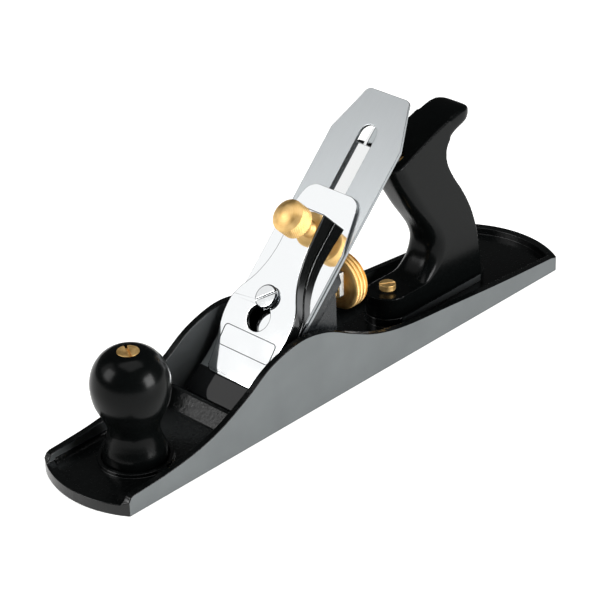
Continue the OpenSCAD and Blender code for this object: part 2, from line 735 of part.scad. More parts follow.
body();
frog_whole();  // frog
frog_screws();
frog_washers();
frog_adjusting_screw();
frog_clip();
frog_clip_screw();
yoke();
yoke_pin();
depth_stud();
depth_wheel();
lateral_lever();
lateral_pin();
lateral_roller();
lever_cap();
lever_cap_screw();
thumb_screw();
cutter();
cap_iron();
cap_iron_screw();
tote();
tote_bolt();
tote_nut();
toe_screw();
knob();
knob_bolt();
knob_nut();
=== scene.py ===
"""Looks for a jack-size bench plane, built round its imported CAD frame."""

import logging
import math
from dataclasses import dataclass, field
from enum import Enum
from typing import Callable, Sequence

import bmesh
import bpy
from mathutils import Matrix, Vector
from mathutils.bvhtree import BVHTree


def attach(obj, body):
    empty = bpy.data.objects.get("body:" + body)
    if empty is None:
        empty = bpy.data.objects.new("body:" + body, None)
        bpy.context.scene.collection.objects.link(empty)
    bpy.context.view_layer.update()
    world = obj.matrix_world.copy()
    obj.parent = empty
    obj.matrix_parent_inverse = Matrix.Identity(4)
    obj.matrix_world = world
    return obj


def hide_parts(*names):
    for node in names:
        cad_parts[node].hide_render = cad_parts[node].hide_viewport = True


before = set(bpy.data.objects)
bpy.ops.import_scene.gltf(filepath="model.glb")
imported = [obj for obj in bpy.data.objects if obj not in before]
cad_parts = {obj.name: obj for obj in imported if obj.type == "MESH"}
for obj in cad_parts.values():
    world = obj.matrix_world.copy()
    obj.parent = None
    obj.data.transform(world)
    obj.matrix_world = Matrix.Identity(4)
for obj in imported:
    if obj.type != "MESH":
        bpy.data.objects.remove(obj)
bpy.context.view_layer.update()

LOG = logging.getLogger("bench_plane")
MM = 0.001
ROOT_HALF = math.sqrt(0.5)
CUTTER_MEETS_SOLE = 78.8
BED_AXIS = (ROOT_HALF, 0.0, ROOT_HALF)
UP_BED = (-ROOT_HALF, 0.0, ROOT_HALF)
ALONG_SOLE = (1.0, 0.0, 0.0)
UPRIGHT = (0.0, 0.0, 1.0)

# Meshes: the weld is in metres, NO_RADIUS in mm, and FLAT_ENOUGH and the creases in degrees.
WELD = 3e-6
NO_RADIUS = 1e-6
FLAT_ENOUGH = 0.25
NO_CREASE = 180.0
LATHE_CREASE = 38.0
SKIN_REACH = 0.75
RELAX_SHARE = 0.5
ROUNDING_PASSES = 70

# Cosines of the angle between a surface's normal and the way that it is tested against.
SIDE_LEAN = 0.2
FACE_LEAN = 0.93
PLATED_LEAN = 0.965
GROUND_LEAN = 0.985

Point2 = tuple[float, float]
Axis = tuple[float, float, float]
Socket = bpy.types.NodeSocket
Tree = bpy.types.ShaderNodeTree
Piece = bpy.types.Object
Material = bpy.types.Material
Inputs = dict[str, object]


class Grain(Enum):
    """Which way a surface was ground, as factors on X, Y and Z; a small one draws marks out."""

    EVEN = (1.0, 1.0, 1.0)
    ALONG_SOLE = (0.06, 1.0, 1.0)


# ---- small maths ------------------------------------------------------------


def linear(colour: str) -> tuple[float, float, float, float]:
    """Turn an sRGB hex colour into linear light.

    Args:
        colour: six hex digits after a hash.

    Returns:
        Red, green, blue and alpha as Blender's sockets take them.
    """
    parts = [int(colour[k : k + 2], 16) / 255 for k in (1, 3, 5)]
    r, g, b = (c / 12.92 if c <= 0.04045 else ((c + 0.055) / 1.055) ** 2.4 for c in parts)
    return r, g, b, 1.0


def shade(colour: str, share: float) -> tuple[float, float, float, float]:
    """Darken an sRGB hex colour to a share of its light."""
    r, g, b, _ = linear(colour)
    return r * share, g * share, b * share, 1.0


def bed(u: float, y: float, off: float) -> Vector:
    """Place a point given up the bed, across it and off the cutter's face, in mm.

    Args:
        u: distance up the bed from the line where the cutter's face meets the sole.
        y: distance to the left of the middle.
        off: height over the cutter's upper face.

    Returns:
        The point in the frame, in metres.
    """
    x = CUTTER_MEETS_SOLE + (off - u) * ROOT_HALF
    return Vector((x, y, (u + off) * ROOT_HALF)) * MM


def curve_value(t: float, p: float, q: float, r: float, s: float) -> float:
    """Give one coordinate at a share t of the way from q to r, on a curve through p, q, r and s."""
    square = (2 * p - 5 * q + 4 * r - s) * t * t
    return 0.5 * (2 * q + (r - p) * t + square + (3 * q - p - 3 * r + s) * t**3)


def height_on(line: Sequence[Point2], x: float) -> float:
    """Read an open line's height at a place along it; the last stretch runs on past its end.

    Args:
        line: the points of the line, in order.
        x: the place along it.

    Returns:
        The height there.
    """
    spans = list(zip(line, line[1:]))
    a, b = next((span for span in spans if x <= span[1][0]), spans[-1])
    return a[1] + (b[1] - a[1]) * (x - a[0]) / (b[0] - a[0])


def smooth_line(points: Sequence[Point2], steps: int) -> list[Point2]:
    """Run a smooth open curve through some points.

    Args:
        points: the points that the curve passes through.
        steps: how many pieces each gap is cut into.

    Returns:
        The points along the curve, with both ends.
    """
    out: list[Point2] = []
    last = len(points) - 1
    for i in range(last):
        a, b = points[max(i - 1, 0)], points[i]
        c, d = points[i + 1], points[min(i + 2, last)]
        for k in range(steps):
            t = k / steps
            out.append(tuple(curve_value(t, *four) for four in zip(a, b, c, d)))
    out.append(tuple(points[last]))
    return out


# ---- meshes -----------------------------------------------------------------


def cad_skin(node: str, flat: float = 0.0) -> tuple[list[Vector], list[list[int]]]:
    """Read a CAD node's surface, with its seams welded.

    Args:
        node: the CAD node to read.
        flat: facets that meet at less than this angle in degrees become one; 0 keeps them all.

    Returns:
        The points, in metres, and the indices of the points round each face.
    """
    work = bmesh.new()
    work.from_mesh(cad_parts[node].data)
    bmesh.ops.remove_doubles(work, verts=work.verts[:], dist=WELD)
    if flat:
        limit = math.radians(flat)
        bmesh.ops.dissolve_limit(
            work, angle_limit=limit, verts=work.verts[:], edges=work.edges[:]
        )
    work.verts.index_update()
    points = [v.co.copy() for v in work.verts]
    faces = [[v.index for v in f.verts] for f in work.faces]
    work.free()
    return points, faces


def plain_piece(
    name: str, points: Sequence[Vector], faces: Sequence[Sequence[int]]
) -> Piece:
    """Make an object from points and faces, with its normals facing out.

    Args:
        name: the piece's name.
        points: places in the frame, in metres.
        faces: indices of the points round each face.

    Returns:
        The new object, linked to the scene.
    """
    mesh = bpy.data.meshes.new(name)
    mesh.from_pydata([tuple(p) for p in points], [], [list(f) for f in faces])
    work = bmesh.new()
    work.from_mesh(mesh)
    bmesh.ops.recalc_face_normals(work, faces=work.faces[:])
    work.to_mesh(mesh)
    work.free()
    piece = bpy.data.objects.new(name, mesh)
    bpy.context.scene.collection.objects.link(piece)
    return piece


def settle(piece: Piece, crease: float) -> Piece:
    """Apply a piece's modifiers and shade it smooth except at its creases.

    Args:
        piece: the object to finish.
        crease: the angle in degrees over which an edge stays sharp.

    Returns:
        The same object.
    """
    graph = bpy.context.evaluated_depsgraph_get()
    mesh = bpy.data.meshes.new_from_object(piece.evaluated_get(graph), depsgraph=graph)
    piece.modifiers.clear()
    piece.data = mesh
    mesh.name = piece.name
    mesh.shade_smooth()
    mesh.set_sharp_from_angle(angle=math.radians(crease))
    weighted = piece.modifiers.new("even_normals", "WEIGHTED_NORMAL")
    weighted.keep_sharp = True
    weighted.weight = 50
    return piece


def machined_copy(
    node: str,
    name: str,
    edge: float,
    segments: int = 2,
    crease: float = 32.0,
    exact: Callable[[Vector], bool] | None = None,
) -> Piece:
    """Copy a CAD node's solid, join its facets and break its sharp edges.

    Args:
        node: the CAD node to copy.
        name: the new piece's name.
        edge: width of the broken edge, in mm; 0 leaves the edges sharp.
        segments: how many facets round the broken edge.
        crease: the angle in degrees over which an edge counts as sharp.
        exact: tells, from a place in mm, where the copy keeps to the CAD surface, so that a
            moving neighbour clears it.

    Returns:
        The new piece, which stands for the node.
    """
    points, faces = cad_skin(node, FLAT_ENOUGH)
    piece = plain_piece(name, points, faces)
    if edge:
        bevel = piece.modifiers.new("edges", "BEVEL")
        bevel.width = edge * MM
        bevel.segments = segments
        bevel.limit_method = "ANGLE"
        bevel.angle_limit = math.radians(crease)
        bevel.use_clamp_overlap = False
        bevel.miter_outer = "MITER_ARC"
    settle(piece, crease)
    skin = BVHTree.FromPolygons(points, faces)
    for corner in piece.data.vertices:
        nearest, _, _, away = skin.find_nearest(corner.co)
        if away > edge * MM * SKIN_REACH or (exact and exact(corner.co / MM)):
            corner.co = nearest
    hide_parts(node)
    return piece


def moulded_copy(
    node: str,
    name: str,
    grid: float,
    passes: int,
    rounded: Callable[[Vector], bool],
) -> Piece:
    """Copy a CAD node's solid as one smooth moulded skin.

    Args:
        node: the CAD node to copy.
        name: the new piece's name.
        grid: spacing of the new skin's points, in mm.
        passes: how many times the skin is relaxed, which rounds its edges.
        rounded: tells, from a place in mm, where the edges are rounded off further.

    Returns:
        The new piece, which stands for the node.
    """
    points, faces = cad_skin(node)
    piece = plain_piece(name, points, faces)
    skin = piece.modifiers.new("skin", "REMESH")
    skin.mode = "VOXEL"
    skin.voxel_size = grid * MM
    relax = piece.modifiers.new("relax", "SMOOTH")
    relax.factor = RELAX_SHARE
    relax.iterations = passes
    settle(piece, NO_CREASE)
    piece.modifiers.clear()
    group = piece.vertex_groups.new(name="rounded")
    chosen = [v.index for v in piece.data.vertices if rounded(v.co / MM)]
    group.add(chosen, 1.0, "REPLACE")
    ease = piece.modifiers.new("ease", "SMOOTH")
    ease.vertex_group = group.name
    ease.factor = RELAX_SHARE
    ease.iterations = ROUNDING_PASSES
    settle(piece, NO_CREASE)
    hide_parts(node)
    return piece


def turned(
    name: str,
    profile: Sequence[Point2],
    start: Vector,
    axis: Vector,
    steps: int,
    cut: Callable[[float, float, float], float] | None = None,
) -> Piece:
    """Turn a profile about an axis, as on a lathe.

    Args:
        name: the piece's name.
        profile: radius and distance along the axis, in mm, from one end to the other; one that
            starts off the axis is joined up round a bore.
        start: the point on the axis from which the distances count, in metres.
        axis: the axis's direction.
        steps: how many points go round.
        cut: gives the radius at an angle, radius and distance, where the surface is knurled.

    Returns:
        The new piece.
    """
    along = axis.normalized()
    side = along.orthogonal().normalized()
    across = along.cross(side)
    bored = profile[0][0] > NO_RADIUS
    points: list[Vector] = []
    rings: list[list[int]] = []
    for radius, height in profile:
        if radius < NO_RADIUS:
            rings.append([len(points)])
            points.append(start + along * height * MM)
            continue
        ring = []
        for k in range(steps):
            angle = 2 * math.pi * k / steps
            r = cut(angle, radius, height) if cut else radius
            ring.append(len(points))
            arm = side * r * math.cos(angle) + across * r * math.sin(angle)
            points.append(start + (along * height + arm) * MM)
        rings.append(ring)
    if bored:
        rings.append(rings[0])
    faces: list[list[int]] = []
    for a, b in zip(rings, rings[1:]):
        for k in range(steps):
            j = (k + 1) % steps
            if len(a) == 1:
                faces.append([a[0], b[k], b[j]])
            elif len(b) == 1:
                faces.append([a[k], b[0], a[j]])
            else:
                faces.append([a[k], b[k], b[j], a[j]])
    return settle(plain_piece(name, points, faces), LATHE_CREASE)


def dense(profile: Sequence[Point2], spacing: float) -> list[Point2]:
    """Cut a profile's long straight stretches into short ones.

    Args:
        profile: the corners of the profile.
        spacing: the longest stretch left, in mm.

    Returns:
        The profile with points added on its stretches.
    """
    out: list[Point2] = [profile[0]]
    for a, b in zip(profile, profile[1:]):
        count = max(1, math.ceil(math.dist(a, b) / spacing))
        for k in range(1, count + 1):
            out.append((a[0] + (b[0] - a[0]) * k / count, a[1] + (b[1] - a[1]) * k / count))
    return out


# ---- finishes ---------------------------------------------------------------

ADD = {"operation": "ADD"}
SUBTRACT = {"operation": "SUBTRACT"}
MULTIPLY = {"operation": "MULTIPLY"}
MAXIMUM = {"operation": "MAXIMUM"}
ABSOLUTE = {"operation": "ABSOLUTE"}
OVER = {"operation": "GREATER_THAN"}
UNDER = {"operation": "LESS_THAN"}
DOT = {"operation": "DOT_PRODUCT"}
CROSS = {"operation": "CROSS_PRODUCT"}
LENGTH = {"operation": "LENGTH"}
COLOURS = {"data_type": "RGBA"}
VALUES = {"data_type": "FLOAT"}


def node(
    tree: Tree, kind: str, settings: Inputs | None = None, give: str = "", **links: object
) -> Socket | None:
    """Add a shader node, with its settings and what feeds it.

    Args:
        tree: the material's node tree.
        kind: the node's type, without the word that all shader nodes start with.
        settings: the node's own properties.
        give: the name of the output wanted, if not the first one in use.
        **links: for each input, by number (n0, n1, ...) or by name with underscores for
            spaces, the socket or the fixed value that feeds it.

    Returns:
        The wanted output, or None where the node has no outputs.
    """
    made = tree.nodes.new("ShaderNode" + kind)
    for key, value in (settings or {}).items():
        setattr(made, key, value)
    for key, value in links.items():
        by_number = key[0] == "n" and key[1:].isdigit()
        slot = made.inputs[int(key[1:]) if by_number else key.replace("_", " ")]
        if isinstance(value, bpy.types.NodeSocket):
            tree.links.new(value, slot)
        else:
            slot.default_value = value
    if give:
        return made.outputs[give]
    return next((output for output in made.outputs if output.enabled), None)


def speckle(
    tree: Tree, size: float, grain: Grain = Grain.EVEN, detail: float = 3.0
) -> Socket:
    """Make a noise whose features have a real size.

    Args:
        tree: the material's node tree.
        size: width of a feature, in mm.
        grain: which way the features are drawn out.
        detail: how many finer layers are added.

    Returns:
        The noise, about 0.5 on average.
    """
    place = node(tree, "TexCoord", give="Object")
    scaled = node(tree, "Mapping", Vector=place, Scale=grain.value)
    scale = 1 / (size * MM)
    return node(tree, "TexNoise", Vector=scaled, Scale=scale, Detail=detail, Roughness=0.55)


def bed_streaks(tree: Tree, size: float, ratio: float) -> Socket:
    """Make streaks that run up the bed.

    Args:
        tree: the material's node tree.
        size: width of a streak, in mm.
        ratio: how many times longer than wide it is.

    Returns:
        The noise, about 0.5 on average.
    """
    place = node(tree, "TexCoord", give="Object")
    about_y = {"rotation_type": "Y_AXIS"}
    on_bed = node(tree, "VectorRotate", about_y, Vector=place, Angle=-math.pi / 4)
    scaled = node(tree, "Mapping", Vector=on_bed, Scale=(1.0 / ratio, 1.0, 1.0))
    scale = 1 / (size * MM)
    return node(tree, "TexNoise", Vector=scaled, Scale=scale, Detail=4.0, Roughness=0.6)


def rings(tree: Tree, point: Axis, axis: Axis, pitch: float) -> Socket:
    """Make turning marks: fine rings about an axis.

    Args:
        tree: the material's node tree.
        point: a point on the axis, in metres.
        axis: the axis's direction.
        pitch: distance between rings, in mm.

    Returns:
        The noise, about 0.5 on average.
    """
    place = node(tree, "TexCoord", give="Object")
    arm = node(tree, "VectorMath", SUBTRACT, n0=place, n1=point)
    along = node(tree, "VectorMath", DOT, n0=arm, n1=axis)
    cross = node(tree, "VectorMath", CROSS, n0=arm, n1=axis)
    radius = node(tree, "VectorMath", LENGTH, n0=cross)
    pair = node(tree, "CombineXYZ", X=radius, Y=along, Z=0.0)
    return node(tree, "TexNoise", Vector=pair, Scale=1 / (pitch * MM), Detail=2.0)


def facing(tree: Tree, direction: Axis, least: float) -> Socket:
    """Find where the surface faces a direction in the piece's own frame.

    Args:
        tree: the material's node tree.
        direction: the direction.
        least: the least cosine between the surface's normal and the direction.

    Returns:
        1 where it does, and 0 elsewhere.
    """
    normal = node(tree, "TexCoord", give="Normal")
    lean = node(tree, "VectorMath", DOT, n0=normal, n1=direction)
    return node(tree, "Math", OVER, n0=lean, n1=least)


def edged(tree: Tree, face: object, side: str, wear_and_edge_shade: str) -> Socket:
    """Colour a plate that lies on the bed, with painted shade on its broken edges.

    Args:
        tree: the material's node tree.
        face: colour of its two faces.
        side: colour of its square sides.
        wear_and_edge_shade: colour of the broken edges between them, a painted reflection.

    Returns:
        The colour.
    """
    normal = node(tree, "TexCoord", give="Normal")
    lean = node(tree, "VectorMath", DOT, n0=normal, n1=BED_AXIS)
    slope = node(tree, "Math", ABSOLUTE, n0=lean)
    on_side = node(tree, "Math", UNDER, n0=slope, n1=SIDE_LEAN)
    # painted reflection: the broken edges take a dark colour that stands for the dark room they
    # reflect
    rim = node(tree, "Mix", COLOURS, n0=on_side, n6=linear(wear_and_edge_shade), n7=linear(side))
    off_face = node(tree, "Math", UNDER, n0=slope, n1=FACE_LEAN)
    return node(tree, "Mix", COLOURS, n0=off_face, n6=face, n7=rim)


@dataclass(frozen=True)
class Finish:
    """A finish, named for its material and for how its surface was made."""

    name: str

    def skin(self, tree: Tree) -> Inputs:
        """Give what feeds the shader's inputs."""
        raise NotImplementedError

    def make(self) -> Material:
        """Build the material.

        Returns:
            The new material.
        """
        material = bpy.data.materials.new(self.name)
        material.use_nodes = True
        tree = material.node_tree
        tree.nodes.clear()
        surface = node(tree, "BsdfPrincipled", **self.skin(tree))
        node(tree, "OutputMaterial", Surface=surface)
        return material


@dataclass(frozen=True)
class CastingFinish(Finish):
    """Grey cast iron, brushed with glossy black enamel, then ground bare where it has to be flat.

    The eye sees a wet-looking black skin with the soft pebbling of the sand mould under it,
    against dull grey metal with faint lengthwise grinding lines and cloudy tone.
    """

    ground_ways: tuple[Axis, ...]
    enamel: str = "#090b0b"
    ground: str = "#6a6e6f"
    pebble: float = 1.6
    pebble_depth: float = 0.07
    streak: float = 0.5  # real grinding lines are a few hundredths; coarser, so that they show
    streak_depth: float = 0.008
    cloud: float = 22.0
    enamel_rough: float = 0.2
    ground_rough: tuple[float, float] = (0.38, 0.5)
    ground_metal: float = 0.85
    shine: float = 0.3

    def skin(self, tree: Tree) -> Inputs:
        """Lay enamel wherever the iron isn't ground.

        Args:
            tree: the material's node tree.

        Returns:
            What feeds the shader's inputs.
        """
        bare = facing(tree, self.ground_ways[0], GROUND_LEAN)
        for way in self.ground_ways[1:]:
            bare = node(tree, "Math", MAXIMUM, n0=bare, n1=facing(tree, way, GROUND_LEAN))
        lines = speckle(tree, self.streak, Grain.ALONG_SOLE, 4.0)
        clouds = speckle(tree, self.cloud, detail=2.0)
        fine = node(tree, "Math", MULTIPLY, n0=lines, n1=0.45)
        broad = node(tree, "Math", MULTIPLY, n0=clouds, n1=0.75)
        both = node(tree, "Math", ADD, n0=fine, n1=broad)
        tone = node(tree, "MapRange", n0=both, n1=0.4, n2=0.8)
        low, high = shade(self.ground, 0.86), linear(self.ground)
        metal = node(tree, "Mix", COLOURS, n0=tone, n6=low, n7=high)
        pebbles = speckle(tree, self.pebble, detail=2.0)
        hollow = node(tree, "MapRange", n0=pebbles, n1=0.3, n2=0.7)
        low, high = shade(self.enamel, 0.6), linear(self.enamel)
        black = node(tree, "Mix", COLOURS, n0=hollow, n6=low, n7=high)
        low, high = self.ground_rough
        dull = node(tree, "MapRange", n0=lines, n1=0.3, n2=0.7, n3=low, n4=high)
        low, high = self.enamel_rough * 0.7, self.enamel_rough * 1.4
        wet = node(tree, "MapRange", n0=pebbles, n1=0.35, n2=0.7, n3=low, n4=high)
        enamelled = node(tree, "Math", SUBTRACT, n0=1.0, n1=bare)
        bumps = node(tree, "Math", MULTIPLY, n0=enamelled, n1=pebbles)
        scratches = node(tree, "Math", MULTIPLY, n0=bare, n1=lines)
        pebbled = node(tree, "Bump", Height=bumps, Distance=self.pebble_depth * MM)
        depth = self.streak_depth * MM
        return {
            "Base_Color": node(tree, "Mix", COLOURS, n0=bare, n6=black, n7=metal),
            "Metallic": node(tree, "Math", MULTIPLY, n0=bare, n1=self.ground_metal),
            "Roughness": node(tree, "Mix", VALUES, n0=bare, n2=wet, n3=dull),
            "Normal": node(tree, "Bump", Height=scratches, Distance=depth, Normal=pebbled),
            "Specular_IOR_Level": self.shine,
        }


@dataclass(frozen=True)
class ChromeFinish(Finish):
    """Chromium plate over polished metal: mirror bright, with the slight waves of hand buffing.

    With black_sides only the face that looks off the bed is plated, and the rest is glossy black
    enamel. With painted_shade_below the metal is painted black up to that distance up the bed, in
    mm: painted shade that stands for the dark reflection on the cap iron's hump.
    """

    plate: str = "#eceeef"
    side: str = "#8f9395"
    # painted reflection: dark colour for the broken edges, not wear
    wear_and_edge_shade: str = "#2f3235"
    enamel: str = "#070808"
    # painted shade: the black that stands for the dark reflection on the cap iron's hump
    painted_shade_colour: str = "#0b0c0d"
    rough: float = 0.05
    enamel_rough: float = 0.16
    haze: float = 9.0
    wave: float = 14.0
    wave_depth: float = 0.035
    black_sides: bool = False
    painted_shade_below: float = 0.0

    def skin(self, tree: Tree) -> Inputs:
        """Plate the metal, then blacken what isn't plated.

        Args:
            tree: the material's node tree.

        Returns:
            What feeds the shader's inputs.
        """
        haze = speckle(tree, self.haze, detail=3.0)
        low, high = self.rough * 0.6, self.rough * 1.6
        rough = node(tree, "MapRange", n0=haze, n1=0.3, n2=0.75, n3=low, n4=high)
        plate = linear(self.plate)
        metal: object = 1.0
        if self.black_sides:
            metal = facing(tree, BED_AXIS, PLATED_LEAN)
            colour = node(tree, "Mix", COLOURS, n0=metal, n6=linear(self.enamel), n7=plate)
            rough = node(tree, "Mix", VALUES, n0=metal, n2=self.enamel_rough, n3=rough)
        else:
            colour = edged(tree, plate, self.side, self.wear_and_edge_shade)
        # Paint the low end of the cap iron black: painted shade, not a black finish on the metal.
        if self.painted_shade_below:
            place = node(tree, "TexCoord", give="Object")
            up = node(tree, "VectorMath", DOT, n0=place, n1=UP_BED)
            limit = (self.painted_shade_below - CUTTER_MEETS_SOLE * ROOT_HALF) * MM
            below = node(tree, "Math", UNDER, n0=up, n1=limit)
            colour = node(tree, "Mix", COLOURS, n0=below, n6=colour, n7=linear(self.painted_shade_colour))
            metal = node(tree, "Math", SUBTRACT, n0=1.0, n1=below)
        waves = speckle(tree, self.wave, detail=1.0)
        return {
            "Base_Color": colour,
            "Metallic": metal,
            "Roughness": rough,
            "Normal": node(tree, "Bump", Height=waves, Distance=self.wave_depth * MM),
        }


@dataclass(frozen=True)
class GroundSteelFinish(Finish):
    """Tool steel ground along its length: satin, with fine streaks up the bed."""

    colour: str = "#bcc0c2"
    side: str = "#8f9395"
    # painted reflection: dark colour for the broken edges, not wear
    wear_and_edge_shade: str = "#2f3235"
    rough: float = 0.32
    streak: float = 0.45  # real wheel marks are under a tenth; coarser, so that they show
    streak_depth: float = 0.0015
    ratio: float = 40.0
    cloud: float = 30.0

    def skin(self, tree: Tree) -> Inputs:
        """Streak the steel and paint a dark reflection on its broken edges.

        Args:
            tree: the material's node tree.

        Returns:
            What feeds the shader's inputs.
        """
        streaks = bed_streaks(tree, self.streak, self.ratio)
        clouds = speckle(tree, self.cloud, detail=1.0)
        broad = node(tree, "Math", MULTIPLY, n0=clouds, n1=0.5)
        both = node(tree, "Math", ADD, n0=streaks, n1=broad)
        tone = node(tree, "MapRange", n0=both, n1=0.5, n2=1.0)
        low, high = shade(self.colour, 0.95), linear(self.colour)
        face = node(tree, "Mix", COLOURS, n0=tone, n6=low, n7=high)
        low, high = self.rough * 0.95, self.rough * 1.06
        return {
            "Base_Color": edged(tree, face, self.side, self.wear_and_edge_shade),
            "Metallic": 1.0,
            "Roughness": node(tree, "MapRange", n0=streaks, n1=0.3, n2=0.7, n3=low, n4=high),
            "Normal": node(tree, "Bump", Height=streaks, Distance=self.streak_depth * MM),
        }


@dataclass(frozen=True)
class TurnedMetalFinish(Finish):
    """Bar metal turned on a lathe and lightly polished, with fine rings about its axis."""

    colour: str
    deep: str
    point: Axis
    axis: Axis
    rough: float = 0.5
    pitch: float = 0.35  # a real finishing cut is about a tenth; coarser, so that it shows
    mark_depth: float = 0.008
    stain: float = 4.0

    def skin(self, tree: Tree) -> Inputs:
        """Ring the metal and stain it a little.

        Args:
            tree: the material's node tree.

        Returns:
            What feeds the shader's inputs.
        """
        marks = rings(tree, self.point, self.axis, self.pitch)
        stains = speckle(tree, self.stain, detail=3.0)
        both = node(tree, "Math", ADD, n0=marks, n1=stains)
        tone = node(tree, "MapRange", n0=both, n1=0.7, n2=1.25)
        pale, deep = linear(self.colour), linear(self.deep)
        low, high = self.rough * 0.8, self.rough * 1.3
        return {
            "Base_Color": node(tree, "Mix", COLOURS, n0=tone, n6=deep, n7=pale),
            "Metallic": 1.0,
            "Roughness": node(tree, "MapRange", n0=stains, n1=0.3, n2=0.7, n3=low, n4=high),
            "Normal": node(tree, "Bump", Height=marks, Distance=self.mark_depth * MM),
        }


@dataclass(frozen=True)
class PlatedSteelFinish(Finish):
    """Zinc-plated or tumbled mild steel: semi-bright, with a fine mottled crystal."""

    colour: str = "#b4b6b7"
    rough: float = 0.32
    crystal: float = 0.8
    crystal_depth: float = 0.01

    def skin(self, tree: Tree) -> Inputs:
        """Mottle the plating.

        Args:
            tree: the material's node tree.

        Returns:
            What feeds the shader's inputs.
        """
        mottle = speckle(tree, self.crystal, detail=3.0)
        tone = node(tree, "MapRange", n0=mottle, n1=0.35, n2=0.7)
        dark, pale = shade(self.colour, 0.8), linear(self.colour)
        low, high = self.rough * 0.8, self.rough * 1.25
        return {
            "Base_Color": node(tree, "Mix", COLOURS, n0=tone, n6=dark, n7=pale),
            "Metallic": 1.0,
            "Roughness": node(tree, "MapRange", n0=mottle, n1=0.3, n2=0.7, n3=low, n4=high),
            "Normal": node(tree, "Bump", Height=mottle, Distance=self.crystal_depth * MM),
        }


@dataclass(frozen=True)
class MouldedPlasticFinish(Finish):
    """Hard black thermoset, moulded and buffed: glossy, with faint orange peel and fine haze."""

    colour: str = "#050606"
    rubbed: str = "#080a0a"
    rough: float = 0.2
    shine: float = 0.11
    ior: float = 1.45
    peel: float = 3.0
    peel_depth: float = 0.012
    haze: float = 0.7  # real buffing marks are finer; coarser, so that they show
    haze_depth: float = 0.004

    def skin(self, tree: Tree) -> Inputs:
        """Buff the moulded skin.

        Args:
            tree: the material's node tree.

        Returns:
            What feeds the shader's inputs.
        """
        peel = speckle(tree, self.peel, detail=1.0)
        haze = speckle(tree, self.haze, detail=4.0)
        black, wear_and_edge_shade = linear(self.colour), linear(self.rubbed)
        low, high = self.rough * 0.85, self.rough * 1.25
        peeled = node(tree, "Bump", Height=peel, Distance=self.peel_depth * MM)
        depth = self.haze_depth * MM
        return {
            "Base_Color": node(tree, "Mix", COLOURS, n0=peel, n6=black, n7=wear_and_edge_shade),
            "Metallic": 0.0,
            "IOR": self.ior,
            "Roughness": node(tree, "MapRange", n0=haze, n1=0.3, n2=0.7, n3=low, n4=high),
            "Normal": node(tree, "Bump", Height=haze, Distance=depth, Normal=peeled),
            "Specular_IOR_Level": self.shine,
        }


@dataclass(frozen=True)
class PaperFinish(Finish):
    """Matt seamless paper under the plane: pale, even, with the faintest fibre."""

    name: str = "seamless_paper"
    colour: str = "#f4f4f3"
    pale: str = "#f8f8f7"
    rough: float = 0.85
    glow: float = 0.7
    fibre: float = 2.0
    fibre_depth: float = 0.01

    def skin(self, tree: Tree) -> Inputs:
        """Lay the fibres.

        Args:
            tree: the material's node tree.

        Returns:
            What feeds the shader's inputs.
        """
        fibres = speckle(tree, self.fibre, detail=3.0)
        sheet, pale = linear(self.colour), linear(self.pale)
        return {
            "Base_Color": node(tree, "Mix", COLOURS, n0=fibres, n6=sheet, n7=pale),
            "Roughness": self.rough,
            "Emission_Color": sheet,
            "Emission_Strength": self.glow,
            "Normal": node(tree, "Bump", Height=fibres, Distance=self.fibre_depth * MM),
        }


BRASS = {"colour": "#f6d596", "deep": "#e2b46a"}
STEEL = {"colour": "#c2c4c5", "deep": "#94979a"}
ROD_PITCH = 1.0


# ---- sub-assemblies ---------------------------------------------------------


@dataclass
class SubAssembly:
    """A group of pieces that are built and dressed together."""

    body: str = "plane_body"
    pieces: dict[str, Piece] = field(default_factory=dict)

    def copy(self, cad: str, name: str, edge: float, **how: object) -> None:
        """Add a machined copy of a CAD node to the group."""
        self.pieces[name] = machined_copy(cad, name, edge, **how)

    def finish(self, name: str, finish: Material, slot: str, body: str | None = None) -> None:
        """Give a piece its finish and its body, and report it.

        Args:
            name: the piece's name.
            finish: its material.
            slot: not used.
            body: the body that it moves with, if not the group's own.
        """
        piece = self.pieces[name]
        piece.data.materials.clear()
        piece.data.materials.append(finish)
        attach(piece, body or self.body)
        faces = len(piece.data.polygons)
        LOG.info("%s: %d faces, rides on %s", piece.name, faces, body or self.body)

    def build(self) -> None:
        """Make the group's meshes."""
        raise NotImplementedError

    def dress(self) -> None:
        """Give the group's pieces their finishes."""
        raise NotImplementedError


@dataclass
class SoleCasting(SubAssembly):
    """The cast sole with its cheeks."""

    edge: float = 0.45
    mouth_from: float = 60.0
    mouth_to: float = 82.0
    mouth_half: float = 28.0
    mouth_top: float = 12.0

    def by_mouth(self, place: Vector) -> bool:
        """Tell whether a place in mm is by the mouth, where the cutter passes close."""
        along = self.mouth_from < place.x < self.mouth_to
        return along and abs(place.y) < self.mouth_half and place.z < self.mouth_top

    def build(self) -> None:
        """Make the casting."""
        self.copy("body", "sole_casting", self.edge, segments=3, exact=self.by_mouth)

    def dress(self) -> None:
        """Enamel the casting and grind its cheeks and sole."""
        ways = ((0.0, 1.0, 0.0), (0.0, -1.0, 0.0), (0.0, 0.0, -1.0))
        iron = CastingFinish("japanned_and_ground_iron", ways).make()
        self.finish("sole_casting", iron, "body_iron")


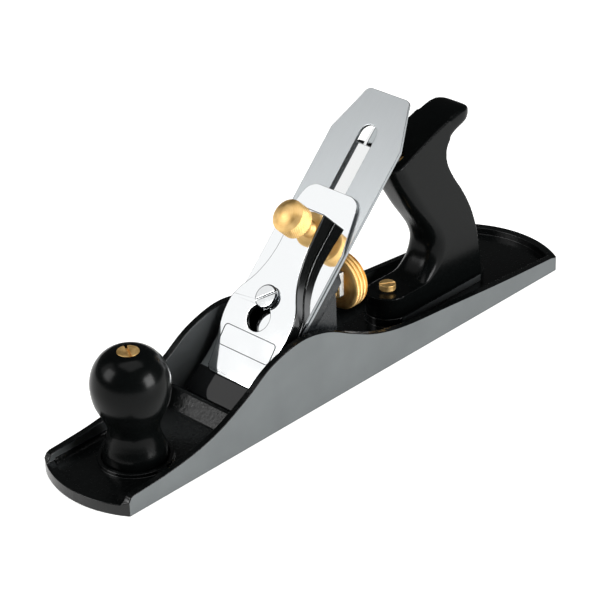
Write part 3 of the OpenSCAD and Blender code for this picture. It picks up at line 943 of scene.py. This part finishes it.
@dataclass
class FrogSeat(SubAssembly):
    """The frog, and the screws that fix and move it."""

    body: str = "frog_group"
    frog_edge: float = 0.35
    screw_edge: float = 0.18
    clip_edge: float = 0.15
    clip_screw_edge: float = 0.12
    adjuster_z: float = 15.0

    def build(self) -> None:
        """Make the frog and its fixings."""
        self.copy("frog", "frog_casting", self.frog_edge)
        self.copy("frog_screws", "frog_clamp_screws", self.screw_edge)
        self.copy("frog_washers", "frog_clamp_washers", self.screw_edge)
        self.copy("frog_adjusting_screw", "frog_adjuster", self.screw_edge)
        self.copy("frog_clip", "frog_adjuster_clip", self.clip_edge)
        self.copy("frog_clip_screw", "frog_adjuster_clip_screw", self.clip_screw_edge)

    def dress(self) -> None:
        """Enamel the frog, grind its bed and plate its fixings."""
        black = {"enamel": "#1b1e20", "enamel_rough": 0.34}
        enamel = CastingFinish("frog_enamel_and_ground_bed", (BED_AXIS,), **black).make()
        self.finish("frog_casting", enamel, "frog_enamel")
        steel = PlatedSteelFinish("bright_zinc_plate").make()
        dull = PlatedSteelFinish("blued_washer_steel", colour="#85888b", rough=0.42).make()
        self.finish("frog_clamp_screws", steel, "steel", "plane_body")
        self.finish("frog_clamp_washers", dull, "steel", "plane_body")
        lathe = {"point": (0.0, 0.0, self.adjuster_z * MM), "axis": ALONG_SOLE}
        turned_steel = TurnedMetalFinish("turned_adjusting_screw_steel", **STEEL, **lathe).make()
        self.finish("frog_adjuster", turned_steel, "steel", "adjusting_screw")
        self.finish("frog_adjuster_clip", dull, "steel")
        self.finish("frog_adjuster_clip_screw", steel, "steel")


@dataclass
class DepthAdjuster(SubAssembly):
    """The yoke, its pin, the stud and the brass wheel."""

    body: str = "frog_group"
    wheel_r: float = 16.0
    wheel_z: float = 44.0
    wheel_back: float = -26.6
    wheel_front: float = -6.7
    bore_r: float = 3.56
    ridges: int = 3
    ridge_start: float = -24.4
    ridge_end: float = -16.4
    ridge_pitch: float = 2.6
    knurls: int = 96
    knurl_depth: float = 0.22
    knurl_steps: int = 8
    pin_edge: float = 0.2
    yoke_edge: float = 0.35

    def wheel_profile(self) -> list[Point2]:
        """Draw the wheel's half section.

        Returns:
            Radius and place along X, in mm, from the back to the front.
        """
        r, bore = self.wheel_r, self.bore_r
        back = [(bore, self.wheel_back), (7.6, self.wheel_back), (8.0, -26.2), (8.0, -25.5)]
        rim = [(r - 1.4, -25.4), (r - 0.5, -25.1), (r - 0.3, -24.6)]
        for k in range(self.ridges):
            base = self.ridge_start + k * self.ridge_pitch
            rim += [(r - 1.1, base), (r - 0.25, base + 0.6), (r, base + 1.0)]
            rim += [(r, base + 1.8), (r - 0.25, base + 2.2)]
        rim += [(r - 1.1, -16.6), (r - 2.2, -16.0), (8.4, -15.8)]
        groove = [(6.3, -15.6), (6.0, -15.2), (6.0, -8.6), (6.3, -8.3)]
        flange = [(8.2, -8.3), (8.6, -7.9), (8.6, -7.1), (8.2, self.wheel_front)]
        return back + rim + groove + flange + [(bore, self.wheel_front)]

    def knurl(self, angle: float, radius: float, height: float) -> float:
        """Cut straight knurls into the tops of the rim's ridges.

        Args:
            angle: how far round the wheel, in radians.
            radius: the uncut radius, in mm.
            height: the place along X, in mm.

        Returns:
            The radius to turn to, in mm.
        """
        on_top = radius >= self.wheel_r - 0.3 and self.ridge_start < height < self.ridge_end
        if not on_top:
            return radius
        return radius - self.knurl_depth * (0.5 + 0.5 * math.cos(angle * self.knurls))

    def build(self) -> None:
        """Turn the wheel and make the stud, the yoke and its pin."""
        start, along = Vector((0, 0, self.wheel_z * MM)), Vector(ALONG_SOLE)
        steps = self.knurls * self.knurl_steps
        section = self.wheel_profile()
        wheel = turned("depth_wheel_brass", section, start, along, steps, self.knurl)
        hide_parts("depth_wheel")
        self.pieces["depth_wheel_brass"] = wheel
        self.copy("depth_stud", "depth_stud_rod", self.pin_edge)
        self.copy("yoke", "depth_yoke", self.yoke_edge)
        self.copy("yoke_pin", "depth_yoke_pin", self.pin_edge)

    def dress(self) -> None:
        """Ring the turned pieces and plate the yoke."""
        lathe = {"point": (0.0, 0.0, self.wheel_z * MM), "axis": ALONG_SOLE}
        brass = TurnedMetalFinish("turned_wheel_brass", **BRASS, **lathe).make()
        self.finish("depth_wheel_brass", brass, "brass", "wheel")
        lathe["pitch"] = ROD_PITCH
        steel = TurnedMetalFinish("turned_stud_steel", **STEEL, **lathe).make()
        self.finish("depth_stud_rod", steel, "steel")
        grey = {"colour": "#c9cbcb", "rough": 0.42, "crystal": 1.2}
        cast = PlatedSteelFinish("die_cast_yoke_zinc", **grey).make()
        self.finish("depth_yoke", cast, "pressed_steel", "yoke_lever")
        self.finish("depth_yoke_pin", cast, "steel")


@dataclass
class LateralAdjuster(SubAssembly):
    """The lateral lever, its rivet and its roller."""

    body: str = "lateral"
    strip_edge: float = 0.3
    rivet_edge: float = 0.2
    roller_edge: float = 0.15

    def build(self) -> None:
        """Make the lever, its rivet and its roller."""
        self.copy("lateral_lever", "lateral_lever_strip", self.strip_edge)
        self.copy("lateral_pin", "lateral_rivet", self.rivet_edge)
        self.copy("lateral_roller", "lateral_lever_roller", self.roller_edge)

    def dress(self) -> None:
        """Plate the lever and polish the rest."""
        nickel = ChromeFinish("nickel_plated_lever", plate="#e6e7e7", rough=0.08).make()
        self.finish("lateral_lever_strip", nickel, "pressed_steel")
        steel = PlatedSteelFinish("polished_roller_steel", rough=0.25).make()
        self.finish("lateral_rivet", steel, "steel", "frog_group")
        self.finish("lateral_lever_roller", steel, "pressed_steel", "roller")


@dataclass
class CutterStack(SubAssembly):
    """The cutter, the cap iron and the screw that joins them."""

    body: str = "cutter_pair"
    cutter_edge: float = 0.35
    cap_edge: float = 0.3
    screw_edge: float = 0.25
    screw_u: float = 84.0
    # how far up the bed the cap iron's hump is painted black as shade, in mm
    painted_shade_up_to: float = 24.5

    def build(self) -> None:
        """Make the two irons and their screw."""
        self.copy("cutter", "cutter_blade", self.cutter_edge)
        self.copy("cap_iron", "cap_iron_blade", self.cap_edge, crease=28.0)
        self.copy("cap_iron_screw", "cap_iron_screw_head", self.screw_edge)

    def dress(self) -> None:
        """Grind the cutter, plate the cap iron with painted shade on its hump, and turn the screw.
        """
        ground = GroundSteelFinish("surface_ground_tool_steel").make()
        self.finish("cutter_blade", ground, "cutter_steel")
        # painted shade: the hump is painted black to stand for its dark reflection
        hump = {"painted_shade_below": self.painted_shade_up_to}
        chrome = ChromeFinish("chromed_cap_iron_painted_shade_hump", **hump).make()
        self.finish("cap_iron_blade", chrome, "cap_iron_chrome")
        lathe = {"point": tuple(bed(self.screw_u, 0, 0)), "axis": BED_AXIS}
        steel = TurnedMetalFinish("turned_cap_screw_steel", **STEEL, **lathe).make()
        self.finish("cap_iron_screw_head", steel, "steel", "carrier")


@dataclass
class LeverCapClamp(SubAssembly):
    """The lever cap with its blank plate, its screw and the brass thumb screw."""

    body: str = "cap"
    cap_edge: float = 0.7
    cap_face: tuple[Point2, ...] = ((27, 4.7), (33, 5.5), (41, 6.4), (50, 7.5), (58, 8.5))
    screw_edge: float = 0.22
    thumb_u: float = 112.4
    thumb_r: float = 9.5
    rim_low: float = 18.1
    rim_high: float = 26.6
    rim_step: float = 0.22
    dome_r: float = 13.4
    dome_centre: float = 17.2
    dome_from: int = 48
    knurls: int = 40
    knurl_steps: int = 448
    knurl_depth: float = 0.42
    knurl_rise: float = 1.5
    plate_low: float = 38.2
    plate_high: float = 49.8
    plate_half: float = 18.6
    plate_corner: float = 2.2
    corner_steps: int = 6
    line_width: float = 0.42
    line_sunk: float = 0.2
    line_proud: float = 0.16

    def thumb_profile(self) -> list[Point2]:
        """Draw the thumb screw's half section.

        Returns:
            Radius and height off the cutter, in mm, from the tip to the top of the dome.
        """
        r = self.thumb_r
        tip = [(0, 2.05), (2.5, 2.05), (2.8, 2.35), (3.1, 3.1), (3.9, 3.6)]
        stem = [(3.9, 13.4), (4.3, 13.7), (4.4, 14.0), (4.4, 16.8), (4.7, 17.2)]
        under = [(r - 0.9, 17.5), (r - 0.2, 17.9)]
        rim = dense([(r, self.rim_low), (r, self.rim_high)], self.rim_step)
        dome = [(r - 0.2, 26.85)]
        for degrees in range(self.dome_from, 90, 3):
            turn = math.radians(degrees)
            rise = self.dome_centre + self.dome_r * math.sin(turn)
            dome.append((self.dome_r * math.cos(turn), rise))
        return tip + stem + under + rim + dome + [(0, self.dome_centre + self.dome_r)]

    def knurl(self, angle: float, radius: float, height: float) -> float:
        """Cut a diamond knurl into the rim.

        Args:
            angle: how far round the head, in radians.
            radius: the uncut radius, in mm.
            height: the height off the cutter, in mm.

        Returns:
            The radius to turn to, in mm.
        """
        if radius < self.thumb_r - 0.01:
            return radius
        turn = angle * self.knurls / 2
        rise = math.pi * (height - self.rim_low) / self.knurl_rise
        grooves = abs(math.sin(turn + rise)) * abs(math.sin(turn - rise))
        return radius - self.knurl_depth * (1 - grooves)

    def plate_path(self) -> list[tuple[float, float, float]]:
        """Run round the blank plate's outline.

        Returns:
            Distance up the bed and across it, in mm, and the outward angle, point by point.
        """
        corner = self.plate_corner
        top, bottom = self.plate_high - corner, self.plate_low + corner
        side = self.plate_half - corner
        path = []
        centres = ((top, side), (top, -side), (bottom, -side), (bottom, side))
        for quarter, (u, y) in enumerate(centres):
            for k in range(self.corner_steps + 1):
                angle = math.pi / 2 * (1 - quarter - k / self.corner_steps)
                place = u + corner * math.cos(angle), y + corner * math.sin(angle)
                path.append((*place, angle))
        return path

    def plate_frame(self) -> Piece:
        """Make the thin raised line round the blank plate on the cap's face.

        Returns:
            The new piece.
        """
        face = smooth_line(self.cap_face, 6)
        path = self.plate_path()
        sunk, proud = -self.line_sunk, self.line_proud
        section = ((-0.5, sunk), (-0.5, proud), (0.5, proud), (0.5, sunk))
        points: list[Vector] = []
        for u, y, angle in path:
            for side, lift in section:
                shift = side * self.line_width
                place = u + shift * math.cos(angle), y + shift * math.sin(angle)
                points.append(bed(*place, height_on(face, place[0]) + lift))
        faces: list[list[int]] = []
        for i in range(len(path)):
            here, there = i * 4, (i + 1) % len(path) * 4
            for j in range(4):
                k = (j + 1) % 4
                faces.append([here + j, here + k, there + k, there + j])
        return settle(plain_piece("cap_blank_plate_frame", points, faces), 60.0)

    def build(self) -> None:
        """Make the cap with its plate, and turn the thumb screw."""
        self.copy("lever_cap", "lever_cap_casting", self.cap_edge, segments=4, crease=35.0)
        self.pieces["cap_blank_plate_frame"] = self.plate_frame()
        start, along = bed(self.thumb_u, 0, 0), Vector(BED_AXIS)
        section = self.thumb_profile()
        thumb = turned(
            "thumb_screw_brass", section, start, along, self.knurl_steps, self.knurl
        )
        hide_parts("thumb_screw")
        self.pieces["thumb_screw_brass"] = thumb
        self.copy("lever_cap_screw", "lever_cap_screw_head", self.screw_edge)

    def dress(self) -> None:
        """Plate the cap and its screw, paint shade on the plate's line, and polish the brass."""
        chrome = ChromeFinish("chromed_face_black_sides", black_sides=True).make()
        self.finish("lever_cap_casting", chrome, "lever_cap_chrome")
        # painted shade: the line round the blank plate is dark grey to stand for its shaded edge
        line = PlatedSteelFinish("painted_shade_plate_line", colour="#3c3f42", rough=0.5).make()
        self.finish("cap_blank_plate_frame", line, "lever_cap_chrome")
        lathe = {"point": tuple(bed(self.thumb_u, 0, 0)), "axis": BED_AXIS}
        brass = TurnedMetalFinish("turned_thumb_brass", **BRASS, **lathe).make()
        self.finish("thumb_screw_brass", brass, "brass", "thumb")
        nickel = ChromeFinish("nickel_plated_cap_screw", plate="#dcdedf", rough=0.1).make()
        self.finish("lever_cap_screw_head", nickel, "pressed_steel", "frog_group")


@dataclass
class ToteHandle(SubAssembly):
    """The rear handle and its fixings."""

    grid: float = 0.6
    relax: int = 6
    horn_x: float = -97.0
    horn_z: float = 104.0
    rod_foot: Point2 = (-109.0, 10.0)
    rod_lean: float = 25.8
    rod_edge: float = 0.2
    nut_edge: float = 0.25
    toe_x: float = -58.0

    def on_horn(self, place: Vector) -> bool:
        """Tell whether a place in mm is on the horn at the top, which is rounded more."""
        return place.x < self.horn_x and place.z > self.horn_z

    def build(self) -> None:
        """Mould the grip and make its rod, nut and toe screw."""
        tote = moulded_copy("tote", "tote_grip", self.grid, self.relax, self.on_horn)
        self.pieces["tote_grip"] = tote
        self.copy("tote_bolt", "tote_rod", self.rod_edge)
        self.copy("tote_nut", "tote_rod_nut", self.nut_edge)
        self.copy("toe_screw", "tote_toe_screw", self.nut_edge, segments=3)

    def dress(self) -> None:
        """Buff the grip and polish its fixings."""
        plastic = MouldedPlasticFinish("buffed_black_thermoset_tote").make()
        self.finish("tote_grip", plastic, "handle_plastic")
        lean = math.radians(self.rod_lean)
        foot_x, foot_z = self.rod_foot
        lathe = {
            "point": (foot_x * MM, 0.0, foot_z * MM),
            "axis": (math.sin(lean), 0.0, math.cos(lean)),
        }
        steel = TurnedMetalFinish("turned_rod_steel", **STEEL, **lathe, pitch=ROD_PITCH).make()
        self.finish("tote_rod", steel, "steel")
        brass = TurnedMetalFinish("turned_tote_nut_brass", **BRASS, **lathe).make()
        self.finish("tote_rod_nut", brass, "brass")
        lathe = {"point": (self.toe_x * MM, 0.0, 0.0), "axis": UPRIGHT}
        toe_brass = TurnedMetalFinish("turned_toe_screw_brass", **BRASS, **lathe).make()
        self.finish("tote_toe_screw", toe_brass, "brass")


@dataclass
class FrontKnob(SubAssembly):
    """The front knob and its fixings."""

    x: float = 134.5
    ball_r: float = 20.8
    top: float = 68.2
    seat: float = 5.02
    bore_r: float = 3.0
    nut_bore_r: float = 6.0
    nut_floor: float = 56.0
    steps: int = 192
    rod_edge: float = 0.2
    nut_edge: float = 0.25

    def profile(self) -> list[Point2]:
        """Draw the knob's half section.

        Returns:
            Radius and height over the sole, in mm, from the foot over the ball and down the bore.
        """
        foot = [(self.bore_r, self.seat), (16.6, self.seat), (16.9, 5.3), (17, 6.0), (17, 7.8)]
        waist = [(17, 8.6), (16.6, 12), (15, 16.8), (13.9, 20.8), (13.6, 24.4), (14.6, 28.8)]
        ball = [(17.1, 34), (19.6, 40), (self.ball_r, 47.4), (20.4, 53.4), (18.5, 59.2)]
        crown = [(15, 64.2), (10.8, 67.2), (7, self.top)]
        mouth = [(self.nut_bore_r + 0.1, self.top), (self.nut_bore_r, self.top - 0.15)]
        bore = [(self.nut_bore_r, self.nut_floor), (self.bore_r, self.nut_floor)]
        return foot + smooth_line(waist + ball + crown, 8) + mouth + bore

    def build(self) -> None:
        """Turn the knob and make its rod and nut."""
        foot, up = Vector((self.x * MM, 0, 0)), Vector(UPRIGHT)
        knob = turned("knob_ball", self.profile(), foot, up, self.steps)
        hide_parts("knob")
        self.pieces["knob_ball"] = knob
        self.copy("knob_bolt", "knob_rod", self.rod_edge)
        self.copy("knob_nut", "knob_rod_nut", self.nut_edge, segments=3)

    def dress(self) -> None:
        """Buff the knob and polish its fixings."""
        plastic = MouldedPlasticFinish("buffed_black_thermoset_knob").make()
        self.finish("knob_ball", plastic, "handle_plastic")
        lathe = {"point": (self.x * MM, 0.0, 0.0), "axis": UPRIGHT}
        rod = {**STEEL, **lathe, "pitch": ROD_PITCH}
        steel = TurnedMetalFinish("turned_knob_rod_steel", **rod).make()
        self.finish("knob_rod", steel, "steel")
        brass = TurnedMetalFinish("turned_knob_nut_brass", **BRASS, **lathe).make()
        self.finish("knob_rod_nut", brass, "brass")


# ---- studio -----------------------------------------------------------------


@dataclass(frozen=True)
class Softbox:
    """A square soft light, aimed at the plane."""

    name: str
    way: Axis
    distance: float
    side: float
    radiance: float

    def build(self, target: Vector) -> None:
        """Hang the light and turn it to the target.

        Args:
            target: the point that it faces.
        """
        light = bpy.data.lights.new(self.name, "AREA")
        light.shape = "SQUARE"
        light.size = self.side
        light.energy = self.radiance * math.pi * self.side * self.side
        holder = bpy.data.objects.new(self.name, light)
        bpy.context.scene.collection.objects.link(holder)
        direction = Vector(self.way).normalized()
        holder.location = target + direction * self.distance
        holder.rotation_euler = direction.to_track_quat("Z", "Y").to_euler()


@dataclass
class Studio:
    """The floor, the lights and the camera."""

    azimuth: float = 134.80
    elevation: float = 29.22
    roll: float = -2.02
    distance: float = 1.29589
    lens: float = 145.34
    sensor: float = 36.0
    sight: float = 50.0
    target: Axis = (0.0115, 0.0, 0.04501)
    floor_half: float = 3.0
    floor_gap: float = 0.0002
    world: str = "#404040"
    world_strength: float = 1.0
    boxes: tuple[Softbox, ...] = (
        Softbox("key_left_of_plane", (-0.2, 0.93, 0.29), 1.3, 0.62, 18.0),
        Softbox("fill_past_toe", (0.76, -0.39, 0.5), 1.4, 0.6, 7.0),
        Softbox("overhead", (0.0, 0.05, 1.0), 1.7, 1.3, 2.0),
        Softbox("card_right_of_plane", (0.6, -0.55, 0.58), 1.9, 1.25, 1.05),
    )

    def camera(self) -> None:
        """Set up the camera."""
        az, el, roll = (math.radians(v) for v in (self.azimuth, self.elevation, self.roll))
        level = math.cos(el)
        back = Vector((math.sin(az) * level, -math.cos(az) * level, math.sin(el)))
        right = (-back).cross(Vector(UPRIGHT)).normalized()
        up = right.cross(-back)
        turned_right = right * math.cos(roll) + up * math.sin(roll)
        turned_up = up * math.cos(roll) - right * math.sin(roll)
        data = bpy.data.cameras.new("camera")
        data.lens = self.lens
        data.sensor_width = self.sensor
        data.clip_end = self.sight
        holder = bpy.data.objects.new("camera", data)
        bpy.context.scene.collection.objects.link(holder)
        place = Matrix((turned_right, turned_up, back)).transposed().to_4x4()
        place.translation = Vector(self.target) + back * self.distance
        holder.matrix_world = place
        bpy.context.scene.camera = holder

    def floor(self) -> None:
        """Lay the floor."""
        h, z = self.floor_half, -self.floor_gap
        corners = [Vector((x, y, z)) for x, y in ((-h, -h), (h, -h), (h, h), (-h, h))]
        floor = plain_piece("floor", corners, [[0, 1, 2, 3]])
        floor.data.materials.append(PaperFinish().make())

    def surroundings(self) -> None:
        """Set the even light that comes from all round."""
        world = bpy.data.worlds.new("studio")
        world.use_nodes = True
        sky = world.node_tree.nodes["Background"]
        sky.inputs["Color"].default_value = linear(self.world)
        sky.inputs["Strength"].default_value = self.world_strength
        bpy.context.scene.world = world
        bpy.context.scene.view_settings.view_transform = "Standard"

    def build(self) -> None:
        """Lay the floor, hang the lights and set up the camera."""
        self.floor()
        for box in self.boxes:
            box.build(Vector(self.target))
        self.surroundings()
        self.camera()


def main() -> None:
    """Build and dress every sub-assembly in order."""
    logging.basicConfig(level=logging.INFO, format="%(name)s %(message)s")
    groups = (
        SoleCasting(),
        FrogSeat(),
        DepthAdjuster(),
        LateralAdjuster(),
        CutterStack(),
        LeverCapClamp(),
        ToteHandle(),
        FrontKnob(),
    )
    for group in groups:
        LOG.info("building %s", type(group).__name__)
        group.build()
        group.dress()
    Studio().build()


if __name__ == "__main__":
    main()
